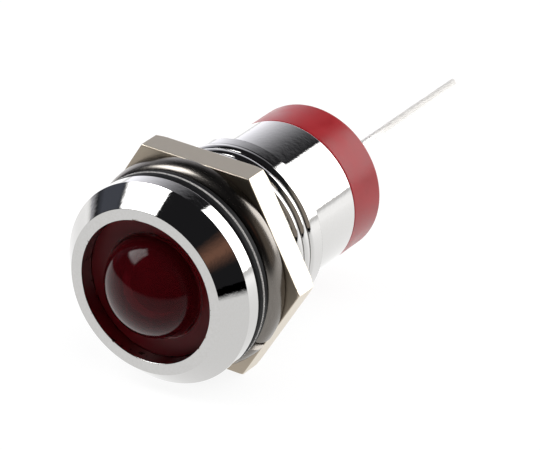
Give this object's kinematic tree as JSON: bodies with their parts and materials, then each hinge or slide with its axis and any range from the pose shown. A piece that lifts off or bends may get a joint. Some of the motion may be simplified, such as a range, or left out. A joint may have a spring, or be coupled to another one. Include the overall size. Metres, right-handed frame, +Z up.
{
  "type": "panel pilot light",
  "caption": "Panel pilot light: recessed red dome lens in a bright bevelled bush with threaded shank, rubber gasket, spring washer, hex nut, red rear plug and straight tinned leads.",
  "frame": {"origin": "on the long axis at the panel seat, the rear face of the flange", "axes": "+Y along the long axis towards the leads, the lens looks along -Y, +Z up"},
  "size_m": [0.022, 0.0514, 0.0194],
  "materials": {
    "chrome_plate": "bright plated, turned brass under it",
    "red_lens": "deep transparent red, polished",
    "black_rubber": "soft matt black",
    "spring_steel": "plated spring steel, satin",
    "nickel_plate": "nickel plated brass, satin warm grey",
    "red_lamp": "moulded epoxy, diffused red",
    "chip": "semiconductor chip",
    "tinned_metal": "tinned, satin",
    "black_plastic": "moulded nylon",
    "board": "glass fibre laminate",
    "resistor_coat": "dipped ceramic coat",
    "diode_glass": "sealed glass",
    "solder": "bright solder",
    "red_plastic": "moulded opaque red",
    "resin": "cast resin"
  },
  "bodies": {
    "bush": {"bezel_bush": "chrome_plate", "lens": "red_lens", "lens_seal": "black_rubber", "panel_gasket": "black_rubber", "lamp_body": "red_lamp", "lamp_chip": "chip", "lamp_anode": "tinned_metal", "lamp_cathode": "tinned_metal", "lamp_holder": "black_plastic", "circuit_board": "board", "resistor_body": "resistor_coat", "resistor_wires": "tinned_metal", "diode_body": "diode_glass", "diode_wires": "tinned_metal", "lamp_solder": "solder", "wire_solder": "solder", "lead_solder": "solder", "rear_plug": "red_plastic", "potting": "resin", "long_lead": "tinned_metal", "short_lead": "tinned_metal"},
    "washer": {"lock_washer": "spring_steel"},
    "nut": {"hex_nut": "nickel_plate"}
  },
  "joints": [
    {"name": "washer_slide", "type": "slide", "parent": "bush", "child": "washer", "axis": [0, 1, 0], "range_m": [0, 0.0051]},
    {"name": "nut_turn", "type": "hinge", "parent": "washer", "child": "nut", "pos_m": [0, 0, 0], "axis": [0, 1, 0], "range_deg": [0, 1800]}
  ],
  "couplings": [
    {"joint": "washer_slide", "follows": "nut_turn", "m_per_rad": 0.00015915}
  ]
}
